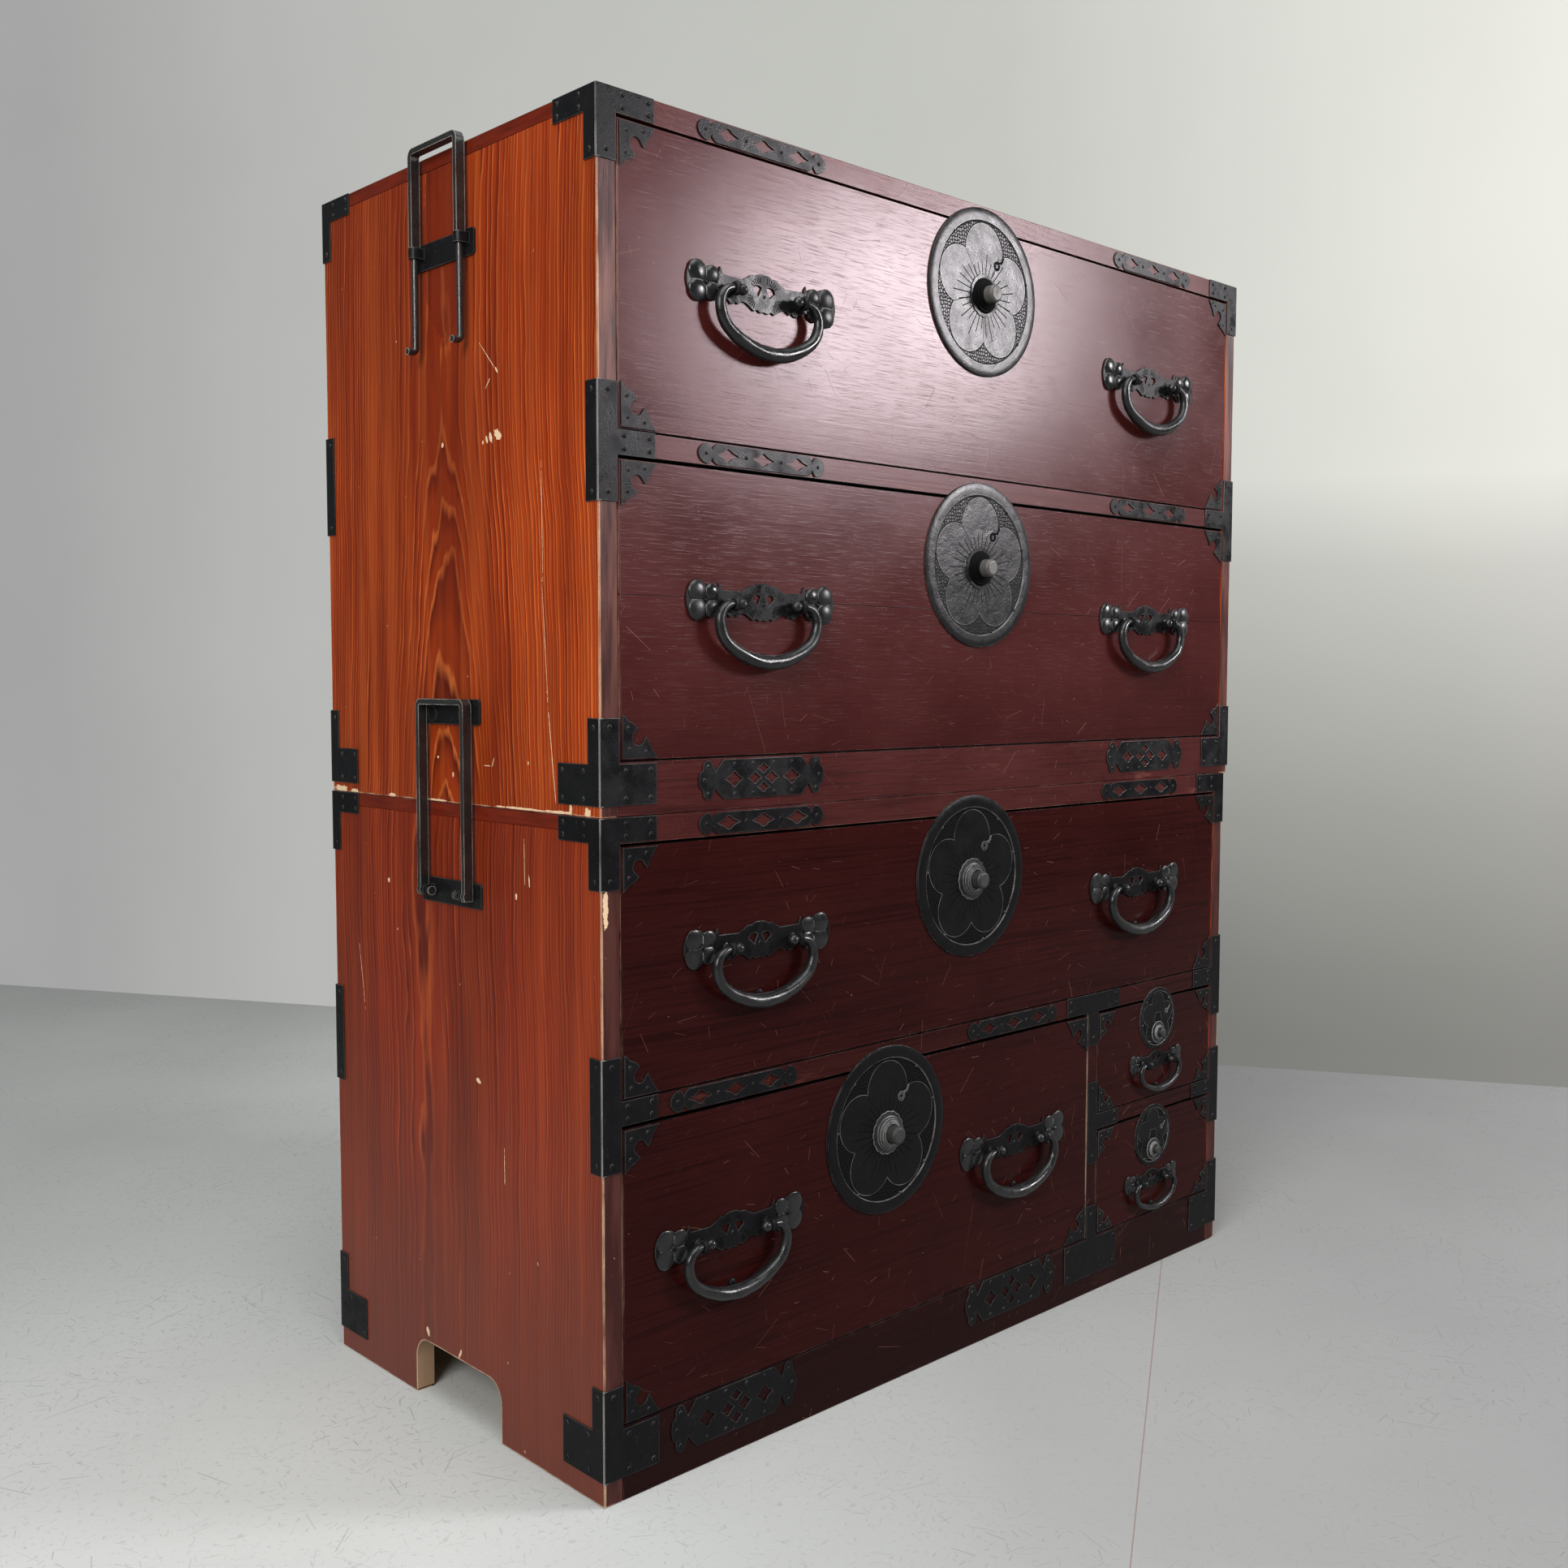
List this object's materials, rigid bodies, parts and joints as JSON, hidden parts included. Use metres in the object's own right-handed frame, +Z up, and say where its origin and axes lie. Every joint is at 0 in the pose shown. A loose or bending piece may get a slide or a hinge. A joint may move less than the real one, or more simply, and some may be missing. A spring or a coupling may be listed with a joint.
{
  "type": "clothing chest",
  "caption": "Two-tier stacking clothing chest of lacquered wood with iron corner straps, round drawer locks, drop bails and side handles.",
  "frame": {"origin": "on the floor, under the middle of the chest with its fittings", "axes": "+Z up, +X to the right of a person who faces the drawers, drawers pull out along -Y"},
  "size_m": [0.9416, 0.4492, 1.1162],
  "materials": {
    "front_lacquer": "dark red-brown lacquer, glossy, worn pale at the edges",
    "side_lacquer": "orange-brown lacquer over raised vertical grain",
    "inner_wood": "bare planed softwood",
    "black_iron": "forged iron, blackened, worn bright on the high spots"
  },
  "bodies": {
    "lower_case": {"lower_left_side": "side_lacquer", "lower_right_side": "side_lacquer", "lower_top_board": "side_lacquer", "lower_back_panel": "inner_wood", "lower_frame_rails": "front_lacquer", "lower_inner_boards": "inner_wood", "lower_iron_fittings": "black_iron", "lower_handle_plates": "black_iron"},
    "upper_case": {"upper_left_side": "side_lacquer", "upper_right_side": "side_lacquer", "upper_top_board": "side_lacquer", "upper_back_panel": "inner_wood", "upper_frame_rails": "front_lacquer", "upper_inner_boards": "inner_wood", "upper_iron_fittings": "black_iron", "upper_handle_plates": "black_iron"},
    "left_pole_handle": {"left_pole_handle": "black_iron"},
    "right_pole_handle": {"right_pole_handle": "black_iron"},
    "left_joining_handle": {"left_joining_handle": "black_iron"},
    "right_joining_handle": {"right_joining_handle": "black_iron"},
    "top_drawer": {"top_drawer_front": "front_lacquer", "top_drawer_tray": "inner_wood", "top_drawer_irons": "black_iron"},
    "top_drawer_knob": {"top_drawer_knob": "black_iron"},
    "top_drawer_bolt": {"top_drawer_bolt": "black_iron"},
    "top_drawer_left_bail": {"top_drawer_left_bail": "black_iron"},
    "top_drawer_right_bail": {"top_drawer_right_bail": "black_iron"},
    "second_drawer": {"second_drawer_front": "front_lacquer", "second_drawer_tray": "inner_wood", "second_drawer_irons": "black_iron"},
    "second_drawer_knob": {"second_drawer_knob": "black_iron"},
    "second_drawer_bolt": {"second_drawer_bolt": "black_iron"},
    "second_drawer_left_bail": {"second_drawer_left_bail": "black_iron"},
    "second_drawer_right_bail": {"second_drawer_right_bail": "black_iron"},
    "third_drawer": {"third_drawer_front": "front_lacquer", "third_drawer_tray": "inner_wood", "third_drawer_irons": "black_iron"},
    "third_drawer_knob": {"third_drawer_knob": "black_iron"},
    "third_drawer_bolt": {"third_drawer_bolt": "black_iron"},
    "third_drawer_left_bail": {"third_drawer_left_bail": "black_iron"},
    "third_drawer_right_bail": {"third_drawer_right_bail": "black_iron"},
    "wide_drawer": {"wide_drawer_front": "front_lacquer", "wide_drawer_tray": "inner_wood", "wide_drawer_irons": "black_iron"},
    "wide_drawer_knob": {"wide_drawer_knob": "black_iron"},
    "wide_drawer_bolt": {"wide_drawer_bolt": "black_iron"},
    "wide_drawer_left_bail": {"wide_drawer_left_bail": "black_iron"},
    "wide_drawer_right_bail": {"wide_drawer_right_bail": "black_iron"},
    "small_upper_drawer": {"small_upper_drawer_front": "front_lacquer", "small_upper_drawer_tray": "inner_wood", "small_upper_drawer_irons": "black_iron"},
    "small_upper_drawer_knob": {"small_upper_drawer_knob": "black_iron"},
    "small_upper_drawer_bolt": {"small_upper_drawer_bolt": "black_iron"},
    "small_upper_drawer_bail": {"small_upper_drawer_bail": "black_iron"},
    "small_lower_drawer": {"small_lower_drawer_front": "front_lacquer", "small_lower_drawer_tray": "inner_wood", "small_lower_drawer_irons": "black_iron"},
    "small_lower_drawer_knob": {"small_lower_drawer_knob": "black_iron"},
    "small_lower_drawer_bolt": {"small_lower_drawer_bolt": "black_iron"},
    "small_lower_drawer_bail": {"small_lower_drawer_bail": "black_iron"}
  },
  "joints": [
    {"name": "upper_case_lift", "type": "slide", "parent": "lower_case", "child": "upper_case", "axis": [0, 0, 1], "range_m": [0, 0.05]},
    {"name": "left_pole_handle_slide", "type": "slide", "parent": "upper_case", "child": "left_pole_handle", "axis": [0, 0, 1], "range_m": [0, 0.07]},
    {"name": "right_pole_handle_slide", "type": "slide", "parent": "upper_case", "child": "right_pole_handle", "axis": [0, 0, 1], "range_m": [0, 0.07]},
    {"name": "left_joining_handle_swing", "type": "hinge", "parent": "lower_case", "child": "left_joining_handle", "pos_m": [-0.46325, 0.0084, 0.475], "axis": [0, -1, 0], "range_deg": [0, 180]},
    {"name": "right_joining_handle_swing", "type": "hinge", "parent": "lower_case", "child": "right_joining_handle", "pos_m": [0.46325, 0.0084, 0.475], "axis": [0, 1, 0], "range_deg": [0, 180]},
    {"name": "top_drawer_slide", "type": "slide", "parent": "upper_case", "child": "top_drawer", "axis": [0, -1, 0], "range_m": [0, 0.33]},
    {"name": "top_drawer_knob_push", "type": "slide", "parent": "top_drawer", "child": "top_drawer_knob", "axis": [0, 1, 0], "range_m": [0, 0.007], "stiffness_N_per_m": 120},
    {"name": "top_drawer_bolt_lift", "type": "slide", "parent": "top_drawer", "child": "top_drawer_bolt", "axis": [0, 0, 1], "range_m": [0, 0.007]},
    {"name": "top_drawer_left_bail_swing", "type": "hinge", "parent": "top_drawer", "child": "top_drawer_left_bail", "pos_m": [-0.283, -0.2166, 0.9775], "axis": [-1, 0, 0], "range_deg": [0, 150]},
    {"name": "top_drawer_right_bail_swing", "type": "hinge", "parent": "top_drawer", "child": "top_drawer_right_bail", "pos_m": [0.281, -0.2166, 0.9775], "axis": [-1, 0, 0], "range_deg": [0, 150]},
    {"name": "second_drawer_slide", "type": "slide", "parent": "upper_case", "child": "second_drawer", "axis": [0, -1, 0], "range_m": [0, 0.33]},
    {"name": "second_drawer_knob_push", "type": "slide", "parent": "second_drawer", "child": "second_drawer_knob", "axis": [0, 1, 0], "range_m": [0, 0.007], "stiffness_N_per_m": 120},
    {"name": "second_drawer_bolt_lift", "type": "slide", "parent": "second_drawer", "child": "second_drawer_bolt", "axis": [0, 0, 1], "range_m": [0, 0.007]},
    {"name": "second_drawer_left_bail_swing", "type": "hinge", "parent": "second_drawer", "child": "second_drawer_left_bail", "pos_m": [-0.284, -0.2166, 0.723], "axis": [-1, 0, 0], "range_deg": [0, 150]},
    {"name": "second_drawer_right_bail_swing", "type": "hinge", "parent": "second_drawer", "child": "second_drawer_right_bail", "pos_m": [0.282, -0.2166, 0.723], "axis": [-1, 0, 0], "range_deg": [0, 150]},
    {"name": "third_drawer_slide", "type": "slide", "parent": "lower_case", "child": "third_drawer", "axis": [0, -1, 0], "range_m": [0, 0.33]},
    {"name": "third_drawer_knob_push", "type": "slide", "parent": "third_drawer", "child": "third_drawer_knob", "axis": [0, 1, 0], "range_m": [0, 0.007], "stiffness_N_per_m": 120},
    {"name": "third_drawer_bolt_lift", "type": "slide", "parent": "third_drawer", "child": "third_drawer_bolt", "axis": [0, 0, 1], "range_m": [0, 0.007]},
    {"name": "third_drawer_left_bail_swing", "type": "hinge", "parent": "third_drawer", "child": "third_drawer_left_bail", "pos_m": [-0.2875, -0.2166, 0.4375], "axis": [-1, 0, 0], "range_deg": [0, 150]},
    {"name": "third_drawer_right_bail_swing", "type": "hinge", "parent": "third_drawer", "child": "third_drawer_right_bail", "pos_m": [0.2715, -0.2166, 0.4375], "axis": [-1, 0, 0], "range_deg": [0, 150]},
    {"name": "wide_drawer_slide", "type": "slide", "parent": "lower_case", "child": "wide_drawer", "axis": [0, -1, 0], "range_m": [0, 0.33]},
    {"name": "wide_drawer_knob_push", "type": "slide", "parent": "wide_drawer", "child": "wide_drawer_knob", "axis": [0, 1, 0], "range_m": [0, 0.007], "stiffness_N_per_m": 120},
    {"name": "wide_drawer_bolt_lift", "type": "slide", "parent": "wide_drawer", "child": "wide_drawer_bolt", "axis": [0, 0, 1], "range_m": [0, 0.007]},
    {"name": "wide_drawer_left_bail_swing", "type": "hinge", "parent": "wide_drawer", "child": "wide_drawer_left_bail", "pos_m": [-0.319, -0.2166, 0.193], "axis": [-1, 0, 0], "range_deg": [0, 150]},
    {"name": "wide_drawer_right_bail_swing", "type": "hinge", "parent": "wide_drawer", "child": "wide_drawer_right_bail", "pos_m": [0.063, -0.2166, 0.193], "axis": [-1, 0, 0], "range_deg": [0, 150]},
    {"name": "small_upper_drawer_slide", "type": "slide", "parent": "lower_case", "child": "small_upper_drawer", "axis": [0, -1, 0], "range_m": [0, 0.33]},
    {"name": "small_upper_drawer_knob_push", "type": "slide", "parent": "small_upper_drawer", "child": "small_upper_drawer_knob", "axis": [0, 1, 0], "range_m": [0, 0.005], "stiffness_N_per_m": 120},
    {"name": "small_upper_drawer_bolt_lift", "type": "slide", "parent": "small_upper_drawer", "child": "small_upper_drawer_bolt", "axis": [0, 0, 1], "range_m": [0, 0.005]},
    {"name": "small_upper_drawer_bail_swing", "type": "hinge", "parent": "small_upper_drawer", "child": "small_upper_drawer_bail", "pos_m": [0.317, -0.2141, 0.2345], "axis": [-1, 0, 0], "range_deg": [0, 150]},
    {"name": "small_lower_drawer_slide", "type": "slide", "parent": "lower_case", "child": "small_lower_drawer", "axis": [0, -1, 0], "range_m": [0, 0.33]},
    {"name": "small_lower_drawer_knob_push", "type": "slide", "parent": "small_lower_drawer", "child": "small_lower_drawer_knob", "axis": [0, 1, 0], "range_m": [0, 0.005], "stiffness_N_per_m": 120},
    {"name": "small_lower_drawer_bolt_lift", "type": "slide", "parent": "small_lower_drawer", "child": "small_lower_drawer_bolt", "axis": [0, 0, 1], "range_m": [0, 0.005]},
    {"name": "small_lower_drawer_bail_swing", "type": "hinge", "parent": "small_lower_drawer", "child": "small_lower_drawer_bail", "pos_m": [0.311, -0.2141, 0.1005], "axis": [-1, 0, 0], "range_deg": [0, 150]}
  ],
  "couplings": [
    {"joint": "top_drawer_bolt_lift", "follows": "top_drawer_knob_push", "ratio": 1},
    {"joint": "second_drawer_bolt_lift", "follows": "second_drawer_knob_push", "ratio": 1},
    {"joint": "third_drawer_bolt_lift", "follows": "third_drawer_knob_push", "ratio": 1},
    {"joint": "wide_drawer_bolt_lift", "follows": "wide_drawer_knob_push", "ratio": 1},
    {"joint": "small_upper_drawer_bolt_lift", "follows": "small_upper_drawer_knob_push", "ratio": 1},
    {"joint": "small_lower_drawer_bolt_lift", "follows": "small_lower_drawer_knob_push", "ratio": 1}
  ]
}
